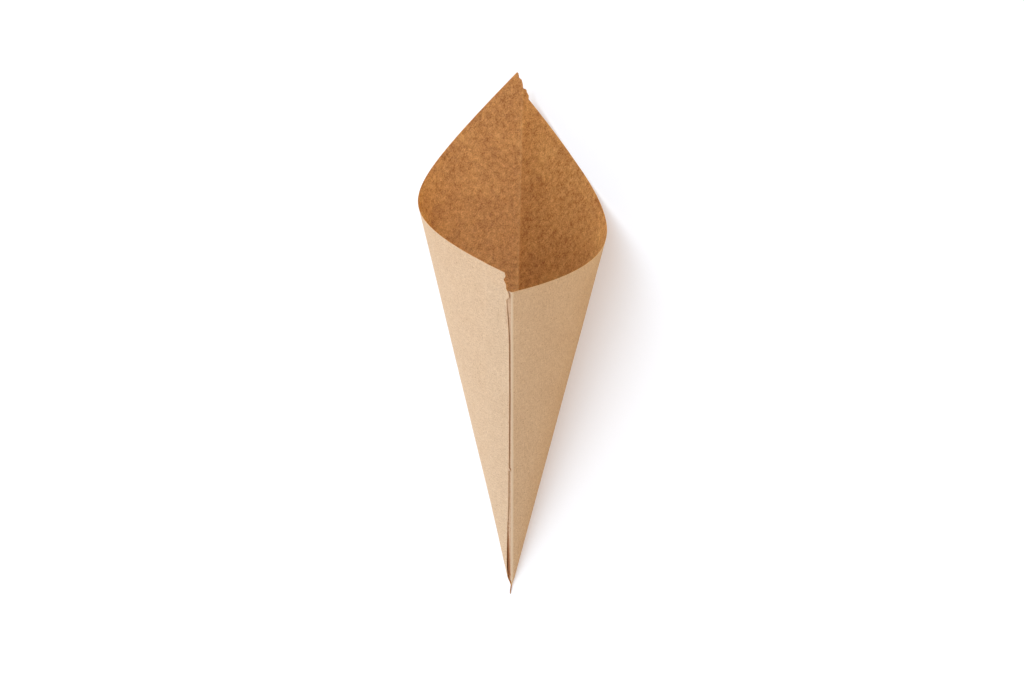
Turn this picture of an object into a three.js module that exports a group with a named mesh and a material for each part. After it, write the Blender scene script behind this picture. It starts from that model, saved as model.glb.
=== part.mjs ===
// Kraft paper cone bag. One square-cornered blank is folded in half through its corner and glued
// along one side. It is opened a little and lies on its side, as it comes to rest.
// Millimetres, +Z up, the mouth towards +Y.
import * as THREE from 'three';

// The flat blank. The fold's apex is at 0, 0. X runs along the seam crease to the head cut, Y runs
// to the web edge, and the back crease is the line at 45 degrees between them. The right panel lies
// below that line, the left panel above it, and the glue flap at negative Y.
const headLength = 210;
const webLength = 221.2;
const paperThickness = 0.2;
const seamSetback = 2;
const flapWidth = 18;
const tipRelief = 6;
const flapTailAngle = 30;
const glueWidth = 12;
const glueMargin = 1;
const glueTailGap = 4;
const glueHeadGap = 7;
const coverMargin = 0.3;

// Beside the web edge both cuts are toothed and run askew, then step back to the straight cut.
const toothedLength = 16;
const toothedSkew = 4.1;
const stepLength = 2.4;
const toothPitch = 5.5;
const toothDepth = 1.1;
const headStep = 1.5;
const tailStep = 1.3;
const headFirstTooth = 0.6;
const tailFirstTooth = 2;

// How far the bag stands open: the angle between its two creases, and each panel's section. A panel
// leaves each crease at a turn from straight across, and a reach says how long it keeps that way.
const creaseSpread = 34.1;
const leftShape = { side: -1, backTurn: 30.1, frontTurn: 39.6, backReach: 0.376, frontReach: 0.405 };
const rightShape = { side: 1, backTurn: 34.3, frontTurn: 27.3, backReach: 0.268, frontReach: 0.461 };

// Loose paper: what the top layer stands clear of the flap where no glue holds it.
const looseGap = 0.15;
const tailGap = 0.5;
const edgeLift = 0.25;
const edgeLiftHead = 1;
const edgeLiftTail = 0.8;
const headLiftLength = 45;
const tailLiftLength = 40;

// The flat spot that the bag lies on, across at the mouth, and how finely the panels are divided.
const restFlat = 16;
const rampWidth = 2;
const facetAngle = 2;
const closestRays = 0.4;
const closestRows = 1;
const tipRowShares = [0.2, 0.45, 0.7];

const curveSteps = 400;

const degree = Math.PI / 180;
const foldAngle = 45 * degree;
const backHalf = Math.tan(creaseSpread / 2 * degree);

// Section of one panel at one unit above the apex, from the back crease to the front crease.
function sectionCurve(shape, fullness) {
  const back = new THREE.Vector2(0, backHalf);
  const front = new THREE.Vector2(0, -backHalf);
  const backTurn = shape.backTurn * degree;
  const frontTurn = shape.frontTurn * degree;
  const leave = new THREE.Vector2(shape.side * Math.cos(backTurn), -Math.sin(backTurn));
  const arrive = new THREE.Vector2(shape.side * Math.cos(frontTurn), Math.sin(frontTurn));
  leave.multiplyScalar(shape.backReach * fullness).add(back);
  arrive.multiplyScalar(shape.frontReach * fullness).add(front);
  return new THREE.CubicBezierCurve(back, leave, arrive, front);
}

// Running angle of the paper along a section, seen from the apex.
function runningAngles(curve) {
  const angles = [0];
  let last = liftToUnit(curve.getPoint(0));
  for (let i = 1; i <= curveSteps; i += 1) {
    const next = liftToUnit(curve.getPoint(i / curveSteps));
    angles.push(angles[i - 1] + last.angleTo(next));
    last = next;
  }
  return angles;
}

function liftToUnit(sectionPoint) {
  return new THREE.Vector3(sectionPoint.x, sectionPoint.y, 1).normalize();
}

// Value between two others at which a test turns from true to false.
function turningPoint(from, to, test) {
  let low = from;
  let high = to;
  let middle = (low + high) / 2;
  while (middle > low && middle < high) {
    if (test(middle)) low = middle;
    else high = middle;
    middle = (low + high) / 2;
  }
  return middle;
}

// The paper doesn't stretch, so the section bulges until each panel spans its flat angle.
function makePanel(shape) {
  const tooFlat = (fullness) => runningAngles(sectionCurve(shape, fullness))[curveSteps] < foldAngle;
  let full = 1;
  while (tooFlat(full)) full *= 2;
  const curve = sectionCurve(shape, turningPoint(0, full, tooFlat));
  return { side: shape.side, curve, angles: runningAngles(curve) };
}

// Direction from the apex, and outward normal, at an angle from the back crease.
function panelAt(panel, angle) {
  const { curve, angles } = panel;
  let i = 0;
  while (i < curveSteps - 1 && angles[i + 1] < angle) i += 1;
  const share = THREE.MathUtils.clamp((angle - angles[i]) / (angles[i + 1] - angles[i]), 0, 1);
  const t = (i + share) / curveSteps;
  const point = curve.getPoint(t);
  const along = curve.getTangent(t);
  const normal = new THREE.Vector3(-along.y, along.x, point.x * along.y - point.y * along.x);
  normal.normalize().multiplyScalar(panel.side);
  return { direction: liftToUnit(point), normal };
}

const leftPanel = makePanel(leftShape);
const rightPanel = makePanel(rightShape);

// The inside of the bag is the same cone with its apex moved up, so that the wall keeps its
// thickness and the two sides never cross at a crease or at the tip.
const apexShift = paperThickness / Math.abs(panelAt(leftPanel, foldAngle / 2).normal.z);

// Direction and normal for a point of the flat blank. The flap lies against the left panel.
function frameAt(x, y) {
  const angle = Math.atan2(y, x);
  if (angle < 0) return panelAt(leftPanel, foldAngle + angle);
  if (angle < foldAngle) return panelAt(rightPanel, foldAngle - angle);
  return panelAt(leftPanel, angle - foldAngle);
}

function foldedPosition({ x, y, lift }, inside) {
  const { direction, normal } = frameAt(x, y);
  const reach = Math.hypot(x, y);
  const place = direction.clone().multiplyScalar(reach).addScaledVector(normal, lift);
  if (inside) {
    const inward = new THREE.Vector3(0, 0, 1).addScaledVector(direction, -direction.z);
    place.addScaledVector(inward, apexShift);
  }
  return place;
}

// A sheet of paper as flat points and faces. Each point has an outer and an inner copy, lift says
// how far the outer one stands off the cone, and glued faces lose the side that is stuck down.
class Sheet {
  constructor() {
    this.points = [];
    this.faces = [];
    this.stuckTo = new Map();
  }

  point(x, y, lift = 0) {
    this.points.push({ x, y, lift });
    return this.points.length - 1;
  }

  face(a, b, c, stuck = 'none') {
    if (a === b || b === c || c === a) return;
    const [p, q, r] = [a, b, c].map((i) => this.points[i]);
    const turn = (q.x - p.x) * (r.y - p.y) - (q.y - p.y) * (r.x - p.x);
    this.faces.push({ corners: turn < 0 ? [a, b, c] : [a, c, b], stuck });
  }

  // Faces between two neighbouring lines of points, whatever their counts.
  join(lineA, lineB) {
    let i = 0;
    let j = 0;
    const far = (k) => Math.hypot(this.points[k].x, this.points[k].y);
    while (i < lineA.length - 1 || j < lineB.length - 1) {
      const nextA = i < lineA.length - 1 ? far(lineA[i + 1]) : Infinity;
      const nextB = j < lineB.length - 1 ? far(lineB[j + 1]) : Infinity;
      if (nextA < nextB) {
        this.face(lineA[i], lineA[i + 1], lineB[j]);
        i += 1;
      } else {
        this.face(lineA[i], lineB[j + 1], lineB[j]);
        j += 1;
      }
    }
  }

  // Faces between two rows with the same number of points.
  band(rowA, rowB, stuckAt = () => 'none') {
    for (let k = 0; k < rowA.length - 1; k += 1) {
      this.face(rowA[k], rowA[k + 1], rowB[k + 1], stuckAt(k));
      this.face(rowA[k], rowB[k + 1], rowB[k], stuckAt(k));
    }
  }

  outer(i) {
    return 2 * i;
  }

  inner(i) {
    return this.stuckTo.has(i) ? this.outer(this.stuckTo.get(i)) : 2 * i + 1;
  }

  // Closed solid: both sides, and a rim wherever a face has no neighbour.
  geometry() {
    const triangles = [];
    const edges = new Map();
    for (const { corners: [a, b, c], stuck } of this.faces) {
      if (stuck !== 'outer') triangles.push([a, b, c].map((i) => this.outer(i)));
      if (stuck !== 'inner') triangles.push([a, c, b].map((i) => this.inner(i)));
      for (const [from, to] of [[a, b], [b, c], [c, a]]) {
        if (edges.has(`${to} ${from}`)) edges.delete(`${to} ${from}`);
        else edges.set(`${from} ${to}`, [from, to]);
      }
    }
    for (const [from, to] of edges.values()) {
      triangles.push([this.outer(to), this.outer(from), this.inner(from)]);
      triangles.push([this.outer(to), this.inner(from), this.inner(to)]);
    }
    const places = new Map();
    const positions = [];
    const placeOf = (corner) => {
      if (!places.has(corner)) {
        places.set(corner, positions.length / 3);
        positions.push(...foldedPosition(this.points[Math.floor(corner / 2)], corner % 2 === 1).toArray());
      }
      return places.get(corner);
    };
    const index = triangles.flat().map(placeOf);
    const geometry = new THREE.BufferGeometry();
    geometry.setAttribute('position', new THREE.Float32BufferAttribute(positions, 3));
    geometry.setIndex(index);
    return geometry;
  }
}

// Toothed end of a cut: distance from the web edge, and how far the cut stands past the straight one.
function toothedCut(step, firstTooth, toothSide) {
  const skewAt = (fromWeb) => step + toothedSkew * (1 - fromWeb / toothedLength);
  const turns = [{ fromWeb: 0, past: skewAt(0) }];
  let tooth = toothSide * toothDepth / 2;
  for (let fromWeb = firstTooth; fromWeb < toothedLength - closestRows; fromWeb += toothPitch / 2) {
    turns.push({ fromWeb, past: skewAt(fromWeb) + tooth });
    tooth = -tooth;
  }
  turns.push({ fromWeb: toothedLength, past: skewAt(toothedLength) });
  turns.push({ fromWeb: toothedLength + stepLength, past: 0 });
  return turns;
}

const headCut = toothedCut(headStep, headFirstTooth, 1);
const tailCut = toothedCut(-tailStep, tailFirstTooth, -1);

function pastAt(cut, fromWeb) {
  for (let i = 1; i < cut.length; i += 1) {
    const [a, b] = [cut[i - 1], cut[i]];
    if (fromWeb <= b.fromWeb) {
      return a.past + (b.past - a.past) * (fromWeb - a.fromWeb) / (b.fromWeb - a.fromWeb);
    }
  }
  return 0;
}

const freeEdgeX = (y) => seamSetback + pastAt(tailCut, webLength - y);
const headCorners = headCut.map(({ fromWeb, past }) => ({ x: headLength + past, y: webLength - fromWeb }));

// Where a ray from the apex leaves the blank: at the web edge, or at the head cut.
function farEnd(angle) {
  const peak = headCorners[0];
  if (angle >= Math.atan2(peak.y, peak.x)) return { x: webLength / Math.tan(angle), y: webLength };
  for (let i = 1; i < headCorners.length; i += 1) {
    const [a, b] = [headCorners[i - 1], headCorners[i]];
    if (angle >= Math.atan2(b.y, b.x)) return crossing(angle, a, b);
  }
  return { x: headLength, y: headLength * Math.tan(angle) };
}

// Where a ray from the apex meets the line through two points.
function crossing(angle, a, b) {
  const ray = { x: Math.cos(angle), y: Math.sin(angle) };
  const along = { x: b.x - a.x, y: b.y - a.y };
  const reach = (a.x * along.y - a.y * along.x) / (ray.x * along.y - ray.y * along.x);
  return { x: reach * ray.x, y: reach * ray.y };
}

// Even divisions between two values, with the fixed values kept and none of the others too close.
function divisions(from, to, step, fixed, closest) {
  const count = Math.ceil((to - from) / step);
  const even = Array.from({ length: count + 1 }, (_, i) => from + (to - from) * i / count);
  const kept = [from, to, ...fixed];
  const free = even.filter((value) => kept.every((other) => Math.abs(value - other) > closest));
  return [...new Set([...kept, ...free])].sort((a, b) => a - b);
}

// Strip of the left panel that covers the flap, and the lines that run along it.
const stripWidth = flapWidth + coverMargin + rampWidth;
const glueInner = flapWidth - glueMargin;
const glueOuter = glueInner - glueWidth;
const glueLines = [glueOuter, (glueOuter + glueInner) / 2, glueInner];
const flapLines = [0, ...glueLines, flapWidth];
const fullFlapStart = tipRelief + flapWidth / Math.tan(flapTailAngle * degree);
const glueStart = fullFlapStart + glueTailGap;
const glueEnd = Math.min(headLength, webLength) - glueHeadGap;
const tipRows = tipRowShares.map((share) => seamSetback + share * (stripWidth - seamSetback));

// Rows across the strip. Each is level with a ray of the left panel, so that the two meet.
function stripRows() {
  const tailRows = tailCut.map(({ fromWeb }) => webLength - fromWeb);
  const peakRows = headCorners.filter(({ x, y }) => y > x).map(({ x, y }) => stripWidth * y / x);
  const fixed = [glueStart, glueEnd, ...tailRows, ...peakRows].map((y) => Math.atan2(y, stripWidth));
  const last = Math.atan2(webLength, stripWidth);
  const angles = divisions(foldAngle, last, facetAngle * degree, fixed, closestRays * degree);
  return angles.map((angle) => {
    const known = [glueStart, glueEnd, ...tailRows].find((y) => Math.atan2(y, stripWidth) === angle);
    return known ?? stripWidth * Math.tan(angle);
  });
}

function glueRow(y) {
  return y >= glueStart && y <= glueEnd;
}

// The flap's width where it is level with a row, narrowing to nothing at its tail.
function flapWidthAt(y) {
  return THREE.MathUtils.clamp((y - tipRelief) * Math.tan(flapTailAngle * degree), 0, flapWidth);
}

// Places of the top layer's lines along a row: the free edge, three glue lines, the flap's cover
// and the far side of the strip, which near the tip is the back crease.
function stripPlaces(y) {
  const edge = freeEdgeX(y);
  const width = Math.min(stripWidth, y);
  const cover = Math.max(flapWidthAt(y) + coverMargin, edge + (width - edge) / 3);
  const share = (target) => (target - seamSetback) / (flapWidth + coverMargin - seamSetback);
  const lines = glueLines.map((target) => (glueRow(y) ? target : edge + share(target) * (cover - edge)));
  return [edge, ...lines, cover, width];
}

// How far the top layer stands clear of the flap, at a row and at a line of the strip.
function clearance(y, line) {
  const tail = THREE.MathUtils.smoothstep(glueStart - y, 0, tailLiftLength / 2);
  if (line === 0) {
    const head = THREE.MathUtils.smoothstep(y, webLength - headLiftLength, webLength);
    const tip = THREE.MathUtils.smoothstep(glueStart + tailLiftLength / 2 - y, 0, tailLiftLength);
    return edgeLift + (edgeLiftHead - edgeLift) * head + (edgeLiftTail - edgeLift) * tip;
  }
  if (glueRow(y)) return line === 4 ? looseGap : 0;
  return looseGap + (tailGap - looseGap) * tail;
}

function buildBag(restAngle) {
  const sheet = new Sheet();

  // Top layer: rows from the free edge to the edge of the strip, or to the back crease near the tip.
  const corner = sheet.point(seamSetback, seamSetback);
  const rows = [...tipRows, ...stripRows()];
  const flapMeets = tipRelief + seamSetback / Math.tan(flapTailAngle * degree);
  const stripGrid = rows.map((y) => {
    const settle = THREE.MathUtils.smoothstep(y, seamSetback, flapMeets);
    return stripPlaces(y).map((x, line, all) => {
      const lift = line === all.length - 1 ? 0 : settle * (paperThickness + clearance(y, line));
      return sheet.point(x, y, lift);
    });
  });
  stripGrid.unshift(stripGrid[0].map(() => corner));
  for (let i = 1; i < stripGrid.length; i += 1) {
    const glued = i > 1 && glueRow(rows[i - 2]) && glueRow(rows[i - 1]);
    const stuckAt = (line) => (glued && (line === 1 || line === 2) ? 'inner' : 'none');
    sheet.band(stripGrid[i - 1], stripGrid[i], stuckAt);
  }

  // Left panel beyond the strip: one ray from the end of each row to the mouth.
  const leftRays = stripGrid.slice(tipRows.length + 1).map((row) => {
    const foot = row[row.length - 1];
    const { x, y } = sheet.points[foot];
    const end = farEnd(Math.atan2(y, x));
    return y >= webLength ? [foot] : [foot, sheet.point(end.x, end.y)];
  });
  for (let i = 1; i < leftRays.length; i += 1) sheet.join(leftRays[i - 1], leftRays[i]);

  // Glue flap: rows level with those of the top layer, from the seam crease to its own free edge.
  const between = rows.filter((y) => y > tipRelief + closestRows && y < headLength - closestRows);
  const flapRows = [tipRelief, ...between, headLength];
  const flapGrid = flapRows.map((x) => {
    const scale = flapWidthAt(x) / flapWidth;
    return flapLines.map((target) => sheet.point(x, target === 0 ? 0 : -target * scale));
  });
  flapGrid[0] = flapGrid[0].map((_, line, all) => all[0]);
  for (let i = 1; i < flapGrid.length; i += 1) {
    const glued = glueRow(flapRows[i - 1]) && glueRow(flapRows[i]);
    const stuckAt = (line) => (glued && (line === 1 || line === 2) ? 'outer' : 'none');
    sheet.band(flapGrid[i - 1], flapGrid[i], stuckAt);
  }
  flapRows.forEach((x, i) => {
    if (!glueRow(x)) return;
    const strip = stripGrid[1 + rows.indexOf(x)];
    for (const line of [1, 2, 3]) sheet.stuckTo.set(strip[line], flapGrid[i][line]);
  });

  // Right panel: the back crease, rays that leave a flat to lie on, and the seam crease.
  const backCrease = [corner, ...stripGrid.slice(1, tipRows.length + 1).map((row) => row[row.length - 1])];
  backCrease.push(...leftRays[0]);
  const seamCrease = flapGrid.map((row) => row[0]);
  const flatHalf = Math.asin(restFlat / 2 / Math.hypot(farEnd(restAngle).x, farEnd(restAngle).y));
  const flatEdges = [restAngle - flatHalf, restAngle + flatHalf];
  const cornerAngles = headCorners.filter(({ x, y }) => y < x).map(({ x, y }) => Math.atan2(y, x));
  const fixed = [...flatEdges, ...cornerAngles];
  const angles = divisions(0, foldAngle, facetAngle * degree, fixed, closestRays * degree)
    .filter((angle) => angle <= flatEdges[0] || angle >= flatEdges[1])
    .slice(1, -1)
    .reverse();
  const rightRays = angles.map((angle) => {
    const foot = crossing(angle, { x: seamSetback, y: seamSetback }, { x: tipRelief, y: 0 });
    const end = farEnd(angle);
    return [sheet.point(foot.x, foot.y), sheet.point(end.x, end.y)];
  });
  const rightLines = [backCrease, ...rightRays, seamCrease];
  for (let i = 1; i < rightLines.length; i += 1) sheet.join(rightLines[i - 1], rightLines[i]);
  return { geometry: sheet.geometry(), flatEdges };
}

// Centre of mass of a closed solid of even density.
function centreOfMass(geometry) {
  const position = geometry.getAttribute('position');
  const index = geometry.getIndex();
  const [a, b, c] = [new THREE.Vector3(), new THREE.Vector3(), new THREE.Vector3()];
  const sum = new THREE.Vector3();
  let total = 0;
  for (let i = 0; i < index.count; i += 3) {
    [a, b, c].forEach((corner, k) => corner.fromBufferAttribute(position, index.getX(i + k)));
    const volume = a.dot(new THREE.Vector3().crossVectors(b, c)) / 6;
    total += volume;
    sum.addScaledVector(a.add(b).add(c), volume / 4);
  }
  return sum.divideScalar(total);
}

// Lying on its side, the bag settles where its centre of mass is straight above the line of the
// right panel that it touches. That line is found between the seam crease and the back crease.
function restingAngle(centre) {
  const sideways = (angle) => {
    const { direction, normal } = frameAt(Math.cos(angle), Math.sin(angle));
    return centre.dot(new THREE.Vector3().crossVectors(normal, direction));
  };
  const atSeam = Math.sign(sideways(degree));
  return turningPoint(degree, foldAngle - degree, (angle) => Math.sign(sideways(angle)) === atSeam);
}

// Turn that lays the flat on the ground with the tip to mouth direction along +Y.
function layDown(flatEdges) {
  const [one, two] = flatEdges.map((angle) => frameAt(Math.cos(angle), Math.sin(angle)).direction);
  const up = new THREE.Vector3().crossVectors(one, two).normalize();
  const along = new THREE.Vector3(0, 0, 1).projectOnPlane(up).normalize();
  const across = new THREE.Vector3().crossVectors(along, up);
  return new THREE.Matrix4().makeBasis(across, along, up).transpose();
}

// The flat spot hardly moves the centre of mass, so it is found with the spot mid-panel.
const trial = buildBag(foldAngle / 2);
const { geometry, flatEdges } = buildBag(restingAngle(centreOfMass(trial.geometry)));
geometry.computeVertexNormals();

const kraft = new THREE.MeshStandardMaterial({ color: 0xc8a47c, roughness: 0.85, metalness: 0 });
const paperCone = new THREE.Mesh(geometry, kraft);
paperCone.name = 'paper_cone';
paperCone.setRotationFromMatrix(layDown(flatEdges));

const box = new THREE.Box3().setFromObject(paperCone, true);
const centre = box.getCenter(new THREE.Vector3());
paperCone.position.set(-centre.x, -centre.y, -box.min.z);

const bag = new THREE.Group();
bag.name = 'paper_cone_bag';
bag.add(paperCone);

export default bag;
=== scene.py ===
# Kraft paper cone bag, opened a little and lying on its side on a white table
import math
import bpy
from mathutils import Euler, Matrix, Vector
from mathutils.geometry import delaunay_2d_cdt


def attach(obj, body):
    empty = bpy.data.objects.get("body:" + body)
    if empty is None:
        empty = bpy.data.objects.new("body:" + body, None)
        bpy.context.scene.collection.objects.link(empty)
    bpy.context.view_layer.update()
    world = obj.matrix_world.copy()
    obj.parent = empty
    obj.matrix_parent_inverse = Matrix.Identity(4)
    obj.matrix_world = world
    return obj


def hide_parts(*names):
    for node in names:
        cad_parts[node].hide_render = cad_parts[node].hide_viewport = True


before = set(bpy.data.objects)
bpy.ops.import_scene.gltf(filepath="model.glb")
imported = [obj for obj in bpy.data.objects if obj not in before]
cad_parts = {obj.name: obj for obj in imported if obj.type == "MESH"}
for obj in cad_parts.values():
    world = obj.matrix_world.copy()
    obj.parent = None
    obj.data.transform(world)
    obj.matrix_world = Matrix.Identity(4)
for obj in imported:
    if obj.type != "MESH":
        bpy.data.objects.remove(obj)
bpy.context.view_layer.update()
mm = 0.001

# The flat sheet, in millimetres. The fold's apex is at 0, 0, X runs along the seam crease,
# the back crease is the 45 degree line, and the glue flap lies at negative Y.
sheet = {
    "headLength": 210.0,
    "webLength": 221.2,
    "thickness": 0.12,
    "sharpAngle": 40.0,       # degrees, past which a fold of the mesh is shaded sharp
    "flapWidth": 18.0,
    "flapTailAngle": 30.0,
    "tipRelief": 4.4,         # how far from the apex the flap's slanted end starts
    "tipCorner": (0.3, 0.3),
    "uvMargin": 30.0,         # the UV map is the flat sheet in a square of this margin and side
    "uvSide": 260.0,
}

# The mesh of the flat sheet, in millimetres and degrees
grid = {
    "edgeSpacing": 1.5,
    "tipSpacing": 0.4,
    "creaseRows": [0.35, 0.7, 1.0, 1.3, 1.8],
    "seamStart": 4.0,         # where the lines along the two creases start
    "backStart": 0.6,
    "backPastHead": 7.0,
    "creaseMargin": 0.5,      # kept clear of rings and rays beside a crease's rows
    "rampRows": 3.0,          # along the lines where the left panel comes down off the flap
    "firstRay": -27.0,
    "raySpacing": 0.75,       # between the lines that the sheet bends along
    "firstRing": 4.0,
    "lastRing": 310.0,
    "ringSpacing": 3.0,
    "closeRings": 40.0,       # up to here the rings are twice as close
    "closeRays": 0.35,        # where rays lie closer than this, every other one is left out
    "rimMargin": 0.9,
    "lineMargin": 0.2,
    "smallestFace": 0.01,
    "curveSteps": 300,        # along a panel's section, as it is drawn
    "guidePoints": 400,       # and as it is read
}

# The last of the tip is drawn out into a thin tail that lies on the table
tail = {"root": 2.5, "drawnOver": 0.9, "reach": 3.9}

# How the left panel stands off the flap that it is glued to, in millimetres
loose = {
    "rampWidth": 2.0,         # over which the panel comes down beside the flap
    "flapMargin": 0.3,
    "start": 2.0,             # from the tip, where the panel starts to stand off
    "settle": 7.0,            # and over which it does so in full
    "gap": 0.03,              # between the two layers
    "tipGap": 0.45,           # added towards the tip
    "tipGapFrom": 40.0,
    "tipGapChange": 25.0,
    "edgeWidth": 5.0,         # the strip along the free edge that isn't glued
    "edgeCurve": 1.5,
    "edgeLift": 0.55,
    "mouthLift": 0.6,         # added towards the mouth
    "mouthFrom": 176.0,
    "tipLift": 0.5,           # added towards the tip
    "tipFrom": 60.0,
    "liftChange": 45.0,
}

# Where the sheet gets a painted highlight, is pressed round or gets painted shade, in millimetres.
# Each fade is how far a mark takes to run out, and each share goes from 0 to 1.
marks = {
    "seamLine": 0.45,         # middle and half width of the painted highlight along the seam crease
    "seamHalf": 0.5,
    "seamFade": 0.35,
    "backPaintedHighlight": 0.5,          # share of the painted highlight, along the back crease
    "backHalf": 0.2,
    "backFade": 1.3,
    "roundLine": 0.5,         # middle and half width of the rounded strip along both creases
    "roundHalf": 1.0,
    "roundFade": 1.2,
    "gapReach": 0.3,          # how far the painted shadow in the gap shows beside the free edge
    "gapTipReach": 1.6,       # and how much further towards the tip
    "gapFade": 0.6,
    "flapPaintedShade": 0.25,         # share of painted shade, over the whole flap
    "flapFrom": 0.1,
    "flapFade": 0.25,
    "tailFrom": 0.1,          # how far the tail's painted shade reaches past its root
    "tailFade": 0.4,
    "edgeDark": 0.2,          # share, on the free edge itself
    "edgeInset": 3.5,
    "edgeSpan": (3.0, 200.0),
}

# Cut ends beside the web edge, as the paper was torn off against a toothed blade
headCut = [(210.0, 120.0), (209.7, 160.0), (210.1, 203.7), (211.6, 205.1), (212.1, 207.7),
           (212.9, 209.0), (211.9, 211.4), (213.3, 213.3), (214.6, 215.8), (214.2, 217.9),
           (215.6, 220.0), (215.4, 221.2)]
tailCut = [(4.9, 221.2), (4.1, 219.2), (5.65, 216.1), (3.45, 213.4), (3.8, 211.3),
           (1.45, 209.0), (0.75, 206.75), (3.3, 203.9)]
freeEdge = [(2.6, 197.0), (1.8, 188.0), (1.1, 174.6), (1.1, 137.0), (1.4, 100.0), (1.6, 88.7),
            (0.05, 87.4), (1.7, 86.2), (2.0, 60.0), (2.9, 45.0), (3.2, 30.0), (3.0, 13.5), (2.6, 9.0)]

# How the open bag is bent: the angle between the creases, and the turn and reach of each panel
bend = {
    "creaseSpread": 34.1,
    "panelAngle": 45.0,
    "left": {"side": -1, "backTurn": 30.1, "frontTurn": 39.6,
             "backReach": 0.376, "frontReach": 0.405},
    "right": {"side": 1, "backTurn": 34.3, "frontTurn": 27.3,
              "backReach": 0.268, "frontReach": 0.461},
    "waveHeight": 0.5,        # millimetres, how far the paper swells in and out
    "waveScale": 14.0,
    "waveSeed": 3.0,
    "waveFullAt": 0.15,       # metres from the tip
    "creaseSoftness": 3,
}
# Where the bag lies: its turn in degrees, and in millimetres its tip and its height off the table
lying = {"turn": (-71.3706, 45.5924, 13.5404), "tip": (7.720, -152.046, 0.0), "clear": 0.02}
sectionEnds = ("back", "back handle", "front handle", "front")


def smooth(value):
    value = min(max(value, 0.0), 1.0)
    return value * value * (3 - 2 * value)


def sectionHandles(shape, fullness):
    # Ends and handles of a panel's section, one unit above the tip
    half = math.tan(math.radians(bend["creaseSpread"] / 2))
    backTurn, frontTurn = math.radians(shape["backTurn"]), math.radians(shape["frontTurn"])
    back, front = Vector((0, half, 1)), Vector((0, -half, 1))
    leave = Vector((shape["side"] * math.cos(backTurn), -math.sin(backTurn), 0))
    arrive = Vector((shape["side"] * math.cos(frontTurn), math.sin(frontTurn), 0))
    return (back, back + leave * shape["backReach"] * fullness,
            front + arrive * shape["frontReach"] * fullness, front)


def sectionAngle(shape, fullness, steps=grid["curveSteps"]):
    # How much of the flat sheet the section takes up, seen from the tip
    a, b, c, d = sectionHandles(shape, fullness)
    total, last = 0.0, a.normalized()
    for i in range(1, steps + 1):
        t = i / steps
        s = 1 - t
        point = a * s ** 3 + b * 3 * s * s * t + c * 3 * s * t * t + d * t ** 3
        point.normalize()
        total += last.angle(point, 0)
        last = point
    return total


def solvedHandles(shape):
    # The paper doesn't stretch, so the section swells until the panel spans its flat angle
    low, high = 0.0, 4.0
    for halving in range(40):
        middle = (low + high) / 2
        if sectionAngle(shape, middle) < math.radians(bend["panelAngle"]):
            low = middle
        else:
            high = middle
    return sectionHandles(shape, (low + high) / 2)


def flapWidthAt(y):
    wide = (y - sheet["tipRelief"]) * math.tan(math.radians(sheet["flapTailAngle"]))
    return min(max(wide, 0.0), sheet["flapWidth"])


def liftAt(x, y):
    # How far the top layer stands off the flap that it is glued to
    if y <= x or y <= 0:
        return 0.0
    cover = flapWidthAt(y) + loose["flapMargin"]
    onFlap = smooth((cover + loose["rampWidth"] - x) / loose["rampWidth"])
    nearEdge = 1 - min(max(x / loose["edgeWidth"], 0), 1)
    towardsMouth = smooth((y - loose["mouthFrom"]) / loose["liftChange"])
    towardsTip = smooth((loose["tipFrom"] - y) / loose["liftChange"])
    edgeLift = loose["edgeLift"] + loose["mouthLift"] * towardsMouth + loose["tipLift"] * towardsTip
    gap = loose["gap"] + loose["tipGap"] * smooth((loose["tipGapFrom"] - y) / loose["tipGapChange"])
    settle = smooth((y - loose["start"]) / loose["settle"])
    return settle * (onFlap * (sheet["thickness"] + gap) + edgeLift * nearEdge ** loose["edgeCurve"])


def setBackAt(x):
    # How far the free edge lies from the seam crease at this distance from the tip
    for upper, lower in zip(freeEdge, freeEdge[1:]):
        if lower[1] <= x <= upper[1]:
            share = (x - lower[1]) / (upper[1] - lower[1])
            return lower[0] + (upper[0] - lower[0]) * share
    return max(freeEdge)[0]


def paintedShadeAt(x, y):
    # Painted shade on the tip's tail, and on the flap in the gap under the loose edge
    if y >= 0:
        return smooth((tail["root"] + marks["tailFrom"] - math.hypot(x, y)) / marks["tailFade"])
    towardsTip = smooth((loose["tipFrom"] - x) / loose["liftChange"])
    reach = marks["gapReach"] + marks["gapTipReach"] * towardsTip
    onFlap = smooth((-y - marks["flapFrom"]) / marks["flapFade"])
    underEdge = smooth((-y - setBackAt(x) + reach + marks["gapFade"] / 2) / marks["gapFade"])
    return marks["flapPaintedShade"] * onFlap + (1 - marks["flapPaintedShade"]) * underEdge


def paintedHighlightAt(x, y):
    # Painted highlight along the two creases
    fromBack = abs(x - y) * math.sqrt(0.5)
    seam = 1 - smooth((abs(y - marks["seamLine"]) - marks["seamHalf"]) / marks["seamFade"])
    back = 1 - smooth((fromBack - marks["backHalf"]) / marks["backFade"])
    return max(seam, marks["backPaintedHighlight"] * back)


def roundAt(x, y):
    # How strongly the sheet is rounded beside its creases
    beside = min(abs(y - marks["roundLine"]), abs(x - y) * math.sqrt(0.5))
    return 1 - smooth((beside - marks["roundHalf"]) / marks["roundFade"])


def divided(points, spacing):
    # The same line with points no further apart than the spacing, without the last one
    line = []
    for (ax, ay), (bx, by) in zip(points, points[1:]):
        count = max(1, math.ceil(math.hypot(bx - ax, by - ay) / spacing))
        line += [(ax + (bx - ax) * i / count, ay + (by - ay) * i / count) for i in range(count)]
    return line


def blankOutline():
    slant = math.tan(math.radians(sheet["flapTailAngle"]))
    flapStart = sheet["tipRelief"] + sheet["flapWidth"] / slant
    corners = [(sheet["tipRelief"], 0.0), (flapStart, -sheet["flapWidth"]),
               (sheet["headLength"], -sheet["flapWidth"]), (sheet["headLength"], 0.0)]
    corners += headCut + tailCut + freeEdge
    tipLines = [[sheet["tipCorner"], corners[0]], [corners[-1], sheet["tipCorner"]]]
    first, last = (divided(line, grid["tipSpacing"]) for line in tipLines)
    return first + divided(corners, grid["edgeSpacing"]) + last


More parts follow.
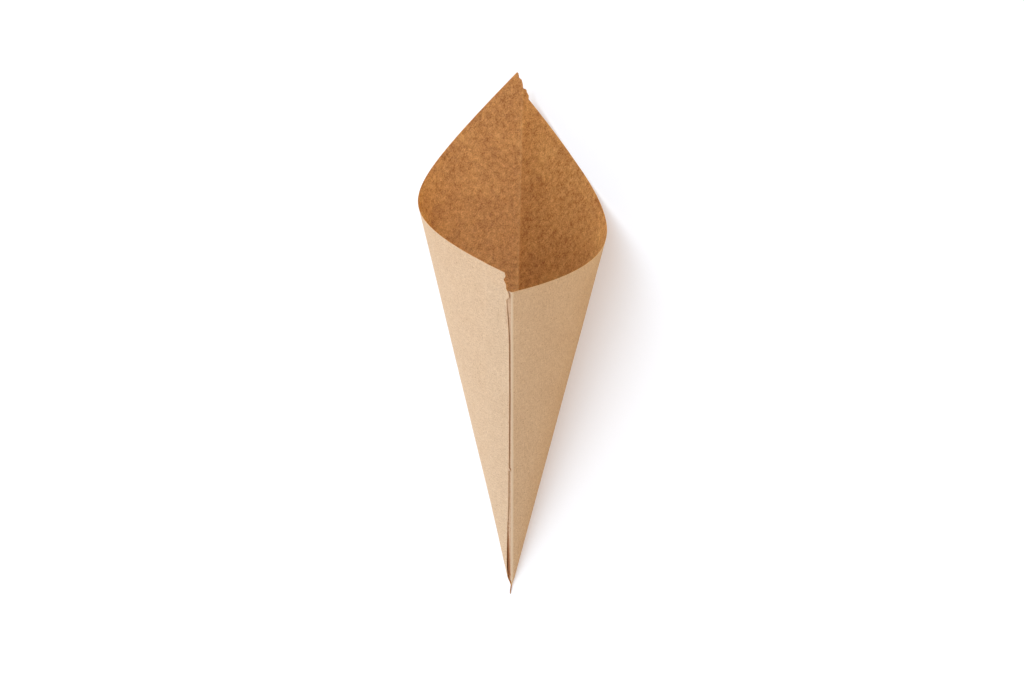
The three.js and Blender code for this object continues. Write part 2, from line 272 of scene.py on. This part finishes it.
def insideOutline(x, y, outline, margin):
    inside, closest = False, 1e9
    for (ax, ay), (bx, by) in zip(outline, outline[1:] + outline[:1]):
        if (ay > y) != (by > y) and x < (bx - ax) * (y - ay) / (by - ay) + ax:
            inside = not inside
        closest = min(closest, (ax - x) ** 2 + (ay - y) ** 2)
    return inside and closest > margin * margin


def isPaper(corners, outline):
    # A triangle of the sheet, not outside its outline and not a sliver along a straight cut
    a, b, c = corners
    area = abs((b - a).cross(c - a)) / 2
    return area > grid["smallestFace"] and insideOutline(*((a + b + c) / 3), outline, 0)


def blankMesh():
    # Flat sheet: its outline, its two creases with rows beside them, and rays from the tip
    outline = blankOutline()
    points = list(outline)
    edges = [(i, (i + 1) % len(outline)) for i in range(len(outline))]
    head, half = sheet["headLength"], math.sqrt(0.5)

    def addLine(start, end, spacing=grid["edgeSpacing"], margin=grid["lineMargin"]):
        first = True
        for x, y in divided([start, end], spacing) + [end]:
            if not insideOutline(x, y, outline, margin):
                first = True
                continue
            points.append((x, y))
            if not first:
                edges.append((len(points) - 2, len(points) - 1))
            first = False

    backFrom, backTo = grid["backStart"], head + grid["backPastHead"]
    offsets = [0.0] + grid["creaseRows"] + [-row for row in grid["creaseRows"]]
    for offset in offsets:
        addLine((grid["seamStart"], offset), (head, offset))
        across = offset * half
        addLine((backFrom + across, backFrom - across), (backTo + across, backTo - across))
    ramp = sheet["flapWidth"] + loose["flapMargin"]
    for x in (ramp, ramp + loose["rampWidth"] / 2, ramp + loose["rampWidth"]):
        addLine((x, x + grid["rampRows"]), (x, sheet["webLength"]), spacing=grid["rampRows"])
    creaseClear = grid["creaseRows"][-1] + grid["creaseMargin"]
    ray = grid["firstRay"]
    while ray < 90:
        turn = math.radians(ray)
        reach = grid["firstRing"]
        while reach < grid["lastRing"]:
            x, y = reach * math.cos(turn), reach * math.sin(turn)
            offCreases = min(abs(y), abs(x - y) * half)
            narrow = reach * math.radians(grid["raySpacing"])
            skip = narrow < grid["closeRays"] and round(ray / grid["raySpacing"]) % 2
            if (offCreases > creaseClear and not skip
                    and insideOutline(x, y, outline, grid["rimMargin"])):
                points.append((x, y))
            far = reach > grid["closeRings"]
            reach += grid["ringSpacing"] if far else grid["ringSpacing"] / 2
        ray += grid["raySpacing"]

    flat = [Vector(point) for point in points]
    verts, _, faces, *_ = delaunay_2d_cdt(flat, edges, [], 0, 1e-5)
    faces = [face for face in faces if isPaper([verts[i] for i in face], outline)]
    mesh = bpy.data.meshes.new("blank")
    mesh.from_pydata([(x * mm, y * mm, 0) for x, y in verts], [], [tuple(f) for f in faces])
    kinds = ("lift", "soft", "paintedHighlight", "glued")
    for kind in kinds:
        mesh.attributes.new(kind, "FLOAT", "POINT")
    lift, soft, paintedHighlight, glued = (mesh.attributes[kind] for kind in kinds)
    rim = {(round(x, 3), round(y, 3)) for x, y in outline}
    for i, (x, y) in enumerate(verts):
        onRim = (round(x, 3), round(y, 3)) in rim
        lift.data[i].value = liftAt(x, y) * mm
        soft.data[i].value = 0 if onRim else roundAt(x, y)
        # Painted highlight along the creases
        paintedHighlight.data[i].value = paintedHighlightAt(x, y)
        low, high = marks["edgeSpan"]
        onFreeEdge = onRim and x < marks["edgeInset"] and low < y < high
        # Painted shade on the tail, the flap and the gap under the loose edge; the free edge gets a
        # small fixed share
        glued.data[i].value = marks["edgeDark"] if onFreeEdge else paintedShadeAt(x, y)
    uv = mesh.uv_layers.new(name="flatSheet")
    for loop in mesh.loops:
        uv.data[loop.index].uv = [(way + sheet["uvMargin"]) / sheet["uvSide"]
                                  for way in verts[loop.vertex_index]]
    # Seen from outside the bag the flat sheet is turned over
    mesh.flip_normals()
    return mesh


def foldTree(material):
    tree = bpy.data.node_groups.new("foldCone", "GeometryNodeTree")
    sockets = {}

    def expose(name, kind):
        made = tree.interface.new_socket(name=name, in_out="INPUT", socket_type=kind)
        sockets[name] = made.identifier

    def node(kind, **settings):
        made = tree.nodes.new(kind)
        for key, value in settings.items():
            setattr(made, key, value)
        return made

    def wire(*pairs):
        for start, end in pairs:
            tree.links.new(start, end)

    def maths(operation, a, b=None):
        made = node("ShaderNodeMath", operation=operation)
        for socket, value in zip(made.inputs, (a, b)):
            if isinstance(value, (int, float)):
                socket.default_value = value
            elif value is not None:
                wire((value, socket))
        return made.outputs[0]

    def vectors(operation, a, b=None, scale=None):
        made = node("ShaderNodeVectorMath", operation=operation)
        wire((a, made.inputs[0]))
        if b is not None:
            wire((b, made.inputs[1]))
        if isinstance(scale, int):
            made.inputs["Scale"].default_value = scale
        elif scale is not None:
            wire((scale, made.inputs["Scale"]))
        return made.outputs["Value" if operation == "LENGTH" else "Vector"]

    expose("Geometry", "NodeSocketGeometry")
    tree.interface.new_socket(name="Geometry", in_out="OUTPUT", socket_type="NodeSocketGeometry")
    for panel in ("Left", "Right"):
        for end in sectionEnds:
            expose(f"{panel} {end}", "NodeSocketVector")
    for name in ("Wave height", "Wave scale", "Wave seed"):
        expose(name, "NodeSocketFloat")
    expose("Crease softness", "NodeSocketInt")
    given = node("NodeGroupInput")

    def guide(panel, factor):
        # Section of one panel, drawn on the unit ball round the tip and read by its length
        curve = node("GeometryNodeCurvePrimitiveBezierSegment", mode="POSITION")
        curve.inputs["Resolution"].default_value = grid["curveSteps"]
        for end, socket in zip(sectionEnds, ("Start", "Start Handle", "End Handle", "End")):
            wire((given.outputs[f"{panel} {end}"], curve.inputs[socket]))
        poly = node("GeometryNodeResampleCurve", mode="COUNT")
        poly.inputs["Count"].default_value = grid["guidePoints"]
        onBall = node("GeometryNodeSetPosition")
        place = node("GeometryNodeInputPosition")
        read = node("GeometryNodeSampleCurve", mode="FACTOR")
        wire((curve.outputs[0], poly.inputs["Curve"]), (poly.outputs[0], onBall.inputs["Geometry"]),
             (vectors("NORMALIZE", place.outputs[0]), onBall.inputs["Position"]),
             (onBall.outputs[0], read.inputs["Curves"]), (factor, read.inputs["Factor"]))
        square = vectors("CROSS_PRODUCT", read.outputs["Position"], read.outputs["Tangent"])
        outward = vectors("SCALE", vectors("NORMALIZE", square), scale=1 if panel == "Right" else -1)
        return read.outputs["Position"], outward

    def choose(kind, condition, no, yes):
        made = node("GeometryNodeSwitch", input_type=kind)
        wire((condition, made.inputs["Switch"]),
             (no, made.inputs["False"]), (yes, made.inputs["True"]))
        return made.outputs[0]

    place = node("GeometryNodeInputPosition").outputs[0]
    apart = node("ShaderNodeSeparateXYZ")
    wire((place, apart.inputs[0]))
    turn = maths("ARCTAN2", apart.outputs[1], apart.outputs[0])
    turn = maths("DIVIDE", turn, math.radians(bend["panelAngle"]))
    onFlap = maths("LESS_THAN", turn, 0.0)
    onRight = maths("MULTIPLY", maths("LESS_THAN", turn, 1.0), maths("SUBTRACT", 1.0, onFlap))
    leftFactor = choose("FLOAT", onFlap, maths("SUBTRACT", turn, 1.0), maths("ADD", turn, 1.0))
    leftWay, leftNormal = guide("Left", leftFactor)
    rightWay, rightNormal = guide("Right", maths("SUBTRACT", 1.0, turn))
    way = choose("VECTOR", onRight, leftWay, rightWay)
    normal = choose("VECTOR", onRight, leftNormal, rightNormal)
    onCone = vectors("SCALE", way, scale=vectors("LENGTH", place))

    # The paper swells in and out a little, less towards the stiff tip
    swell = node("ShaderNodeTexNoise", noise_dimensions="4D")
    swell.inputs["Detail"].default_value = 1.0
    wire((onCone, swell.inputs["Vector"]), (given.outputs["Wave scale"], swell.inputs["Scale"]),
         (given.outputs["Wave seed"], swell.inputs["W"]))
    grow = node("ShaderNodeMapRange", interpolation_type="SMOOTHSTEP")
    grow.inputs["From Max"].default_value = bend["waveFullAt"]
    wire((vectors("LENGTH", place), grow.inputs["Value"]))
    wave = maths("MULTIPLY", maths("SUBTRACT", swell.outputs[0], 0.5), given.outputs["Wave height"])
    wave = maths("MULTIPLY", wave, grow.outputs[0])
    lift = node("GeometryNodeInputNamedAttribute", data_type="FLOAT")
    lift.inputs["Name"].default_value = "lift"
    offset = vectors("SCALE", normal, scale=maths("ADD", lift.outputs[0], wave))
    folded = node("GeometryNodeSetPosition")
    wire((given.outputs["Geometry"], folded.inputs["Geometry"]),
         (vectors("ADD", onCone, offset), folded.inputs["Position"]))

    # The pressed creases are round, not sharp
    soft = node("GeometryNodeInputNamedAttribute", data_type="FLOAT")
    soft.inputs["Name"].default_value = "soft"
    blur = node("GeometryNodeBlurAttribute", data_type="FLOAT_VECTOR")
    eased = node("GeometryNodeSetPosition")
    wire((node("GeometryNodeInputPosition").outputs[0], blur.inputs["Value"]),
         (given.outputs["Crease softness"], blur.inputs["Iterations"]),
         (soft.outputs[0], blur.inputs["Weight"]),
         (folded.outputs[0], eased.inputs["Geometry"]), (blur.outputs[0], eased.inputs["Position"]))
    real = node("GeometryNodeRealizeInstances")
    paint = node("GeometryNodeSetMaterial")
    paint.inputs["Material"].default_value = material
    out = node("NodeGroupOutput")
    wire((eased.outputs[0], real.inputs[0]), (real.outputs[0], paint.inputs["Geometry"]),
         (paint.outputs[0], out.inputs[0]))
    return tree, sockets


# Sizes of the paper's finest marks, as noise scales across the flat sheet, and their bump
paperGrain = {
    "patchShare": 6,          # patches are this many times as large as clouds
    "fibreScale": 200.0,
    "grainScale": 280.0,
    "speckScale": 230.0,
    "speckStretch": (1.5, 0.8, 1),
    "speckFrom": 0.67,        # noise values between which a speck fades in
    "speckTo": 0.72,
    "roughness": 0.6,
    "bumpDepth": 0.0001,
    "fibreBump": 0.6,
    "grainBump": 0.4,
    "bumpRange": (0.2, 0.8),
}


def kraftMaterial(name, look):
    # Paper: cloudy patches, fibres that run one way, fine grain, specks, and a felt-like bump
    material = bpy.data.materials.new(name)
    material.use_nodes = True
    nodes, links = material.node_tree.nodes, material.node_tree.links
    shader = nodes["Principled BSDF"]
    shader.inputs["Roughness"].default_value = look["roughness"]
    shader.inputs["Specular IOR Level"].default_value = look["gloss"]
    shader.inputs["Subsurface Weight"].default_value = look["glow"]
    shader.inputs["Subsurface Radius"].default_value = look["glowReach"]
    shader.inputs["Subsurface Scale"].default_value = mm
    uv = nodes.new("ShaderNodeUVMap")
    uv.uv_map = "flatSheet"

    def noiseFrom(scale, detail, stretch=(1, 1, 1)):
        mapping = nodes.new("ShaderNodeMapping")
        mapping.inputs["Scale"].default_value = stretch
        texture = nodes.new("ShaderNodeTexNoise")
        texture.inputs["Scale"].default_value = scale
        texture.inputs["Detail"].default_value = detail
        texture.inputs["Roughness"].default_value = paperGrain["roughness"]
        links.new(uv.outputs[0], mapping.inputs["Vector"])
        links.new(mapping.outputs[0], texture.inputs["Vector"])
        return texture.outputs[0]

    def between(source, low, high, outLow=0.0, outHigh=1.0):
        span = nodes.new("ShaderNodeMapRange")
        values = (low, high, outLow, outHigh)
        for socket, value in zip(("From Min", "From Max", "To Min", "To Max"), values):
            span.inputs[socket].default_value = value
        links.new(source, span.inputs["Value"])
        return span.outputs[0]

    def mixed(factor, first, second):
        mix = nodes.new("ShaderNodeMix")
        mix.data_type = "RGBA"
        links.new(factor, mix.inputs["Factor"])
        for socket, value in zip((mix.inputs[6], mix.inputs[7]), (first, second)):
            if isinstance(value, tuple):
                socket.default_value = (*value, 1)
            else:
                links.new(value, socket)
        return mix.outputs[2]

    def marked(attribute, amount, under, over):
        mark = nodes.new("ShaderNodeAttribute")
        mark.attribute_name = attribute
        return mixed(between(mark.outputs["Fac"], 0, 1, 0, amount), under, over)

    patches = noiseFrom(look["cloudScale"] / paperGrain["patchShare"], 2.0)
    clouds = noiseFrom(look["cloudScale"], 3.0)
    fibres = noiseFrom(paperGrain["fibreScale"], 4.0, look["fibreStretch"])
    grain = noiseFrom(paperGrain["grainScale"], 2.0)
    specks = noiseFrom(paperGrain["speckScale"], 1.0, paperGrain["speckStretch"])
    # The layers add up to one level around the middle, from dark to pale
    level = None
    layers = ((patches, "patch"), (clouds, "cloud"), (fibres, "fibre"), (grain, "grain"))
    for texture, name in layers:
        layer = nodes.new("ShaderNodeMath")
        layer.operation = "MULTIPLY_ADD"
        links.new(texture, layer.inputs[0])
        layer.inputs[1].default_value = look[name]
        if level is None:
            layer.inputs[2].default_value = 0.5 - 0.5 * sum(look[name] for _, name in layers)
        else:
            links.new(level, layer.inputs[2])
        level = layer.outputs[0]
    colour = mixed(between(level, 0, 1), look["dark"], look["pale"])
    speckShare = between(specks, paperGrain["speckFrom"], paperGrain["speckTo"], 0, look["speck"])
    colour = mixed(speckShare, colour, look["speckColour"])
    # Painted highlight along the creases
    colour = marked("paintedHighlight", look["paintedHighlight"], colour, look["paintedHighlightColour"])
    # Painted shade on the tail, the flap and the gap under the loose edge
    colour = marked("glued", look["glue"], colour, look["glueColour"])
    links.new(colour, shader.inputs["Base Color"])
    height = nodes.new("ShaderNodeMath")
    height.operation = "ADD"
    bumps = (between(fibres, *paperGrain["bumpRange"], 0, paperGrain["fibreBump"]),
             between(grain, *paperGrain["bumpRange"], 0, paperGrain["grainBump"]))
    for bumpHeight, socket in zip(bumps, height.inputs):
        links.new(bumpHeight, socket)
    bump = nodes.new("ShaderNodeBump")
    bump.inputs["Strength"].default_value = look["bump"]
    bump.inputs["Distance"].default_value = paperGrain["bumpDepth"]
    links.new(height.outputs[0], bump.inputs["Height"])
    links.new(bump.outputs[0], shader.inputs["Normal"])
    return material


def fromScreen(red, green, blue):
    # Screen colour, 0 to 255, as the linear colour that a shader takes
    return tuple(((c / 255 + 0.055) / 1.055) ** 2.4 for c in (red, green, blue))


# Colours and finish of each face of the paper
outerLook = {
    "pale": fromScreen(255, 226, 194),
    "dark": fromScreen(207, 172, 136),
    "speckColour": fromScreen(165, 115, 70),
    # Painted highlight along the creases
    "paintedHighlightColour": fromScreen(252, 228, 200),
    # Painted shade on the tail, the flap and the gap under the loose edge
    "glueColour": fromScreen(150, 84, 28),
    "cloudScale": 75.0,
    "fibreStretch": (0.6, 1.5, 1),
    "patch": 0.25,            # how strongly each layer changes the colour
    "cloud": 0.45,
    "fibre": 0.7,
    "grain": 1.1,
    "speck": 0.5,             # how much of its own colour each mark takes
    "paintedHighlight": 0.9,
    "glue": 0.9,
    "roughness": 0.78,
    "gloss": 0.3,
    "glow": 0.2,              # light that passes through the thin paper, and how far in millimetres
    "glowReach": (0.4, 0.36, 0.3),
    "bump": 0.8,
}
innerLook = {
    "pale": fromScreen(214, 160, 96),
    "dark": fromScreen(129, 76, 33),
    "speckColour": fromScreen(110, 65, 30),
    # Painted highlight along the creases
    "paintedHighlightColour": fromScreen(246, 204, 146),
    # Painted shade, not used on this face
    "glueColour": fromScreen(190, 140, 80),
    "cloudScale": 80.0,
    "fibreStretch": (0.7, 1.3, 1),
    "patch": 0.6,
    "cloud": 1.4,
    "fibre": 0.5,
    "grain": 1.5,
    "speck": 0.6,
    "paintedHighlight": 0.18,
    "glue": 0.0,
    "roughness": 0.85,
    "gloss": 0.2,
    "glow": 1.0,
    "glowReach": (0.7, 0.65, 0.58),
    "bump": 0.4,
}
# The cut edges take no painted highlight, and the full painted shade where it is marked
cutLook = dict(outerLook, pale=fromScreen(250, 200, 120), dark=fromScreen(236, 172, 88),
               paintedHighlight=0.0, glue=1.0)

outerKraft = kraftMaterial("kraftOutside", outerLook)
innerKraft = kraftMaterial("kraftInside", innerLook)
cutKraft = kraftMaterial("kraftCutEdge", cutLook)
print("materials made")


def plainMesh(made):
    # The mesh with its modifiers worked in
    return bpy.data.meshes.new_from_object(made.evaluated_get(bpy.context.evaluated_depsgraph_get()))


def makeCone():
    blank = bpy.data.objects.new("coneBlank", blankMesh())
    bpy.context.collection.objects.link(blank)
    blank.data.materials.append(outerKraft)
    print("flat sheet:", len(blank.data.polygons), "faces")
    tree, sockets = foldTree(outerKraft)
    fold = blank.modifiers.new("fold", "NODES")
    fold.node_group = tree
    for panel in ("Left", "Right"):
        for end, point in zip(sectionEnds, solvedHandles(bend[panel.lower()])):
            fold[sockets[f"{panel} {end}"]] = tuple(point)
    fold[sockets["Wave height"]] = bend["waveHeight"] * mm
    fold[sockets["Wave scale"]] = bend["waveScale"]
    fold[sockets["Wave seed"]] = bend["waveSeed"]
    fold[sockets["Crease softness"]] = bend["creaseSoftness"]
    folded = plainMesh(blank)
    bpy.data.objects.remove(blank)

    # Lying down, the paper gives way to a flat spot where it meets the table, and so does the tail
    turn = Euler([math.radians(angle) for angle in lying["turn"]]).to_matrix().to_4x4()
    turn.translation = Vector(lying["tip"]) * mm
    folded.transform(turn)
    outward = turn.to_3x3() @ Vector((0, 0, -1))
    outward.z = 0
    for vertex in folded.vertices:
        inTail = tail["root"] - (vertex.co - turn.translation).length / mm
        drawn = smooth(inTail / tail["drawnOver"])
        vertex.co += outward.normalized() * drawn * tail["reach"] * mm
        vertex.co.z = max(vertex.co.z, lying["clear"] * mm)

    # Thickness goes inwards, and the inside and the cut edges have colours of their own
    cone = bpy.data.objects.new("paperCone", folded)
    bpy.context.collection.objects.link(cone)
    for material in (innerKraft, cutKraft):
        folded.materials.append(material)
    wall = cone.modifiers.new("wall", "SOLIDIFY")
    wall.thickness = sheet["thickness"] * mm
    wall.offset = -1
    wall.material_offset = 1
    wall.material_offset_rim = 2
    cone.data = plainMesh(cone)
    cone.modifiers.clear()
    cone.data.shade_smooth()
    cone.data.set_sharp_from_angle(angle=math.radians(sheet["sharpAngle"]))
    print("folded cone:", len(cone.data.polygons), "faces")
    return cone


paperCone = makeCone()
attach(paperCone, "root")
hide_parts("paper_cone")

# The camera looks at the bag as the photograph does: nearly square to its length
view = {"place": (1.275758, 0.236451, 1.214985), "turn": (3.5933, 47.4873, 15.522),
        "lens": 105.47, "sensor": 36, "clipEnd": 50}
cameraData = bpy.data.cameras.new("photoCamera")
cameraData.lens = view["lens"]
cameraData.sensor_width = view["sensor"]
cameraData.clip_end = view["clipEnd"]
camera = bpy.data.objects.new("photoCamera", cameraData)
camera.location = view["place"]
camera.rotation_euler = [math.radians(angle) for angle in view["turn"]]
bpy.context.collection.objects.link(camera)
bpy.context.scene.camera = camera

# Plain white table, seen as white with the bag's shadow. To other rays it is warm and dim, and it
# glows a dim warm light up onto the bag
tableLook = {"side": 8, "white": (0.7, 0.71, 0.73), "glow": 0.5,
             "bounce": (0.4, 0.31, 0.2), "upwardGlow": 0.74}
bpy.ops.mesh.primitive_plane_add(size=tableLook["side"])
table = bpy.context.object
table.name = "table"
tableWhite = bpy.data.materials.new("tableWhite")
tableWhite.use_nodes = True
nodes, links = tableWhite.node_tree.nodes, tableWhite.node_tree.links
nodes.clear()
diffuse = nodes.new("ShaderNodeBsdfDiffuse")
tint = nodes.new("ShaderNodeMix")
tint.data_type = "RGBA"
tint.inputs[6].default_value = (*tableLook["bounce"], 1)
tint.inputs[7].default_value = (*tableLook["white"], 1)
glow = nodes.new("ShaderNodeEmission")
seen = nodes.new("ShaderNodeLightPath")
mirrored = nodes.new("ShaderNodeMath")
mirrored.operation = "MAXIMUM"
inSight = nodes.new("ShaderNodeMath")
inSight.operation = "MAXIMUM"
strength = nodes.new("ShaderNodeMapRange")
# For rays other than the camera's the table glows warm light up onto the bag, though it is no lamp
strength.inputs["To Min"].default_value = tableLook["upwardGlow"]
strength.inputs["To Max"].default_value = tableLook["glow"]
both = nodes.new("ShaderNodeAddShader")
output = nodes.new("ShaderNodeOutputMaterial")
links.new(seen.outputs["Is Glossy Ray"], mirrored.inputs[0])
links.new(seen.outputs["Is Transmission Ray"], mirrored.inputs[1])
links.new(seen.outputs["Is Camera Ray"], inSight.inputs[0])
links.new(mirrored.outputs[0], inSight.inputs[1])
links.new(inSight.outputs[0], tint.inputs["Factor"])
links.new(tint.outputs[2], diffuse.inputs["Color"])
links.new(tint.outputs[2], glow.inputs["Color"])
links.new(inSight.outputs[0], strength.inputs[0])
links.new(strength.outputs[0], glow.inputs["Strength"])
links.new(diffuse.outputs[0], both.inputs[0])
links.new(glow.outputs[0], both.inputs[1])
links.new(both.outputs[0], output.inputs["Surface"])
table.data.materials.append(tableWhite)

# Soft studio light: a broad bright side above and behind, a dimmer and warmer one in front
lamps = {"from": (-0.42, 0.6, 0.7), "bright": (1.2, 1.23, 1.28), "dim": (0.2, 0.13, 0.07),
         "key": 0.4, "keyFrom": (-0.3, 0.0, 0.95), "keySoftness": 40}
world = bpy.data.worlds.new("room")
world.use_nodes = True
nodes, links = world.node_tree.nodes, world.node_tree.links
way = nodes.new("ShaderNodeTexCoord")
facing = nodes.new("ShaderNodeVectorMath")
facing.operation = "DOT_PRODUCT"
facing.inputs[1].default_value = Vector(lamps["from"]).normalized()
links.new(way.outputs["Generated"], facing.inputs[0])
share = nodes.new("ShaderNodeMapRange")
share.inputs["From Min"].default_value = -1
links.new(facing.outputs["Value"], share.inputs["Value"])
sky = nodes.new("ShaderNodeMix")
sky.data_type = "RGBA"
sky.inputs[6].default_value = (*lamps["dim"], 1)
sky.inputs[7].default_value = (*lamps["bright"], 1)
links.new(share.outputs[0], sky.inputs["Factor"])
seen = nodes.new("ShaderNodeLightPath")
white = nodes.new("ShaderNodeMix")
white.data_type = "RGBA"
white.inputs[7].default_value = (1, 1, 1, 1)
links.new(seen.outputs["Is Camera Ray"], white.inputs["Factor"])
links.new(sky.outputs[2], white.inputs[6])
links.new(white.outputs[2], nodes["Background"].inputs["Color"])
bpy.context.scene.world = world

# One weak and very soft lamp from above, for the shadow beside the bag
keyData = bpy.data.lights.new("keyLamp", "SUN")
keyData.energy = lamps["key"]
keyData.angle = math.radians(lamps["keySoftness"])
keyLamp = bpy.data.objects.new("keyLamp", keyData)
keyLamp.rotation_euler = Vector(lamps["keyFrom"]).to_track_quat("Z", "Y").to_euler()
bpy.context.collection.objects.link(keyLamp)
bpy.context.scene.view_settings.view_transform = "Standard"
print("camera and light set")
